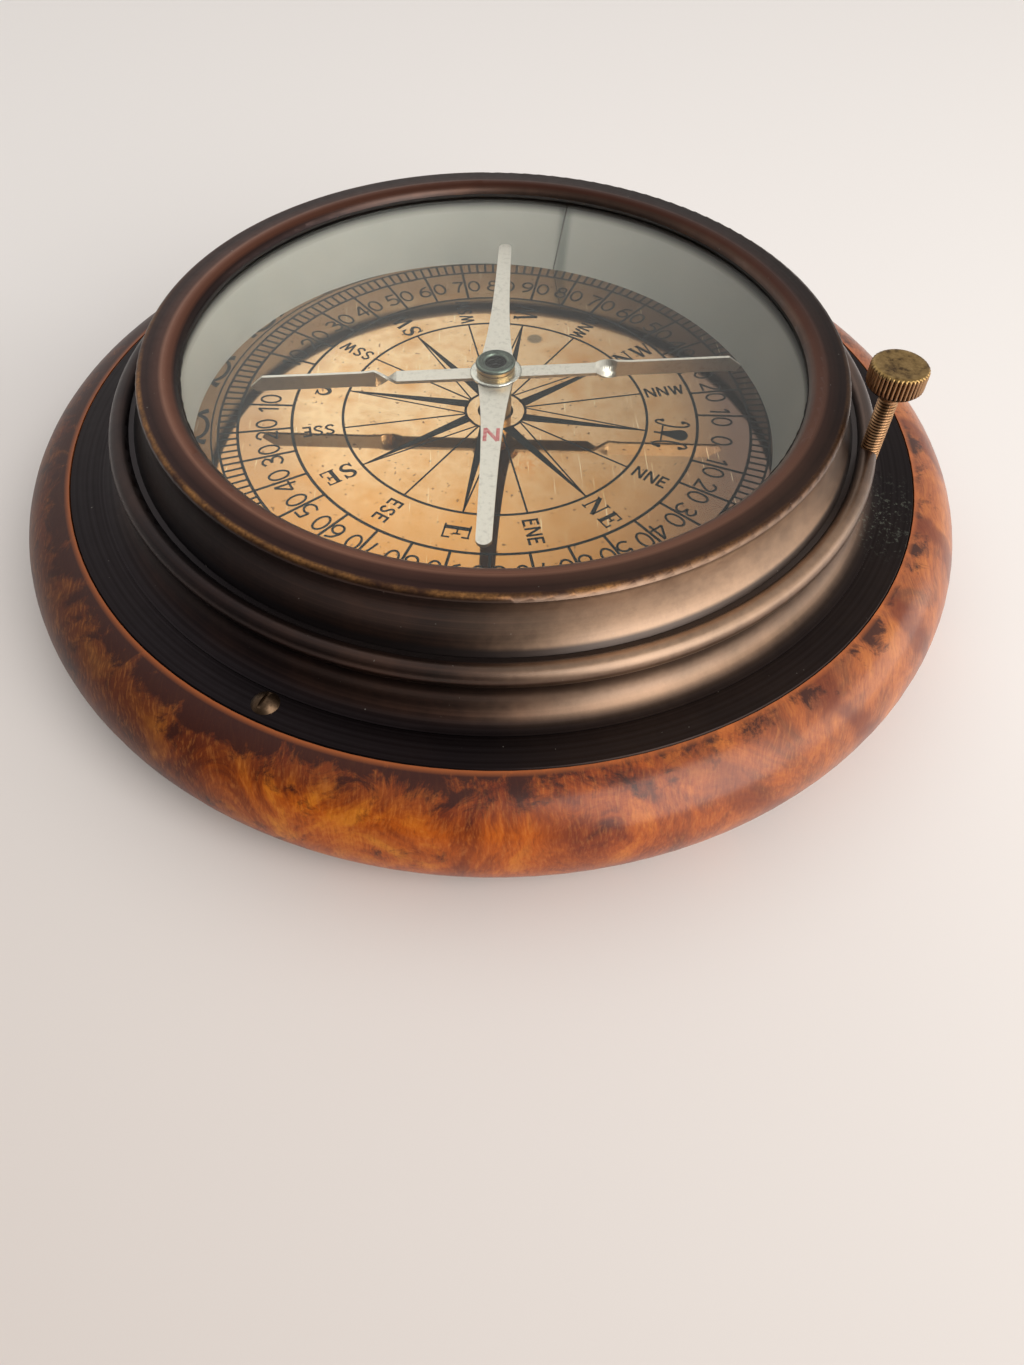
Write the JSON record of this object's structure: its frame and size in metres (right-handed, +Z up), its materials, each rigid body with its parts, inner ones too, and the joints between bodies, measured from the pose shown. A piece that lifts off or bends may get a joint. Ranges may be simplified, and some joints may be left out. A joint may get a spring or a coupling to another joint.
{
  "type": "desk marine compass",
  "caption": "Round desk compass: dark bronzed brass case on a wooden base, printed brass dial under glass, cross-shaped steel needle, and a thumbscrew that stops the needle.",
  "frame": {"origin": "on the upright axis of the case, at the surface that the base stands on", "axes": "+Z up along the needle's pivot, +X to the thumbscrew's side as pictured, -Y towards the camera"},
  "size_m": [0.152, 0.152, 0.0425],
  "materials": {
    "stained_wood": "red-brown stain under an even satin varnish",
    "green_felt": "short felt, matt",
    "bronzed_brass": "dark bronzed and polished, worn to brass on the edges",
    "plain_brass": "turned, bare",
    "screw_brass": "dulled, with dirt in the slot",
    "clear_glass": "flat and clear",
    "black_putty": "dark glazing compound, uneven",
    "grey_card": "painted strip, pale grey, matt",
    "lacquered_brass": "mirror-smooth lacquered brass with dark brown printing",
    "bright_steel": "bright sheet steel",
    "dark_steel": "blued, dull",
    "pale_jewel": "polished hard stone",
    "aged_brass": "aged, blotched brass"
  },
  "bodies": {
    "case": {"wood_base": "stained_wood", "base_felt": "green_felt", "case_ring": "bronzed_brass", "case_pan": "plain_brass", "flange_screws": "screw_brass", "bezel_ring": "bronzed_brass", "glass_pane": "clear_glass", "glass_seal": "black_putty", "wall_liner": "grey_card", "dial_plate": "lacquered_brass", "pivot_post": "plain_brass", "post_screw": "dark_steel", "pivot_pin": "bright_steel", "lever_bracket": "plain_brass", "bracket_screws": "dark_steel", "lever_pin": "bright_steel"},
    "needle_set": {"needle": "bright_steel", "cap_washer": "bright_steel", "cap_collar": "plain_brass", "cap_top": "dark_steel", "cap_jewel": "pale_jewel"},
    "screw_tip": {"thrust_tip": "dark_steel"},
    "stop_screw": {"thumbscrew": "aged_brass"},
    "stop_lever": {"lock_lever": "plain_brass"},
    "stop_sleeve": {"lifter_sleeve": "plain_brass"}
  },
  "joints": [
    {"name": "needle_spin", "type": "hinge", "parent": "case", "child": "needle_set", "pos_m": [0, 0, 0.03015], "axis": [0, 0, 1], "continuous": true},
    {"name": "lock_travel", "type": "slide", "parent": "case", "child": "screw_tip", "axis": [0, 0, 1], "range_m": [-0.0016, 0]},
    {"name": "screw_turn", "type": "hinge", "parent": "screw_tip", "child": "stop_screw", "pos_m": [0.05604, -0.01607, 0.0386], "axis": [0, 0, 1], "range_deg": [-1152, 0]},
    {"name": "lever_tilt", "type": "hinge", "parent": "case", "child": "stop_lever", "pos_m": [0.03653, -0.01047, 0.0162], "axis": [0.2756, 0.9613, 0], "range_deg": [0, 4.6]},
    {"name": "sleeve_lift", "type": "slide", "parent": "case", "child": "stop_sleeve", "axis": [0, 0, 1], "range_m": [0, 0.003]}
  ],
  "couplings": [
    {"joint": "screw_turn", "follows": "lock_travel", "rad_per_m": 12566},
    {"joint": "lever_tilt", "follows": "lock_travel", "rad_per_m": -49.26},
    {"joint": "sleeve_lift", "follows": "lock_travel", "ratio": -1.8719}
  ]
}
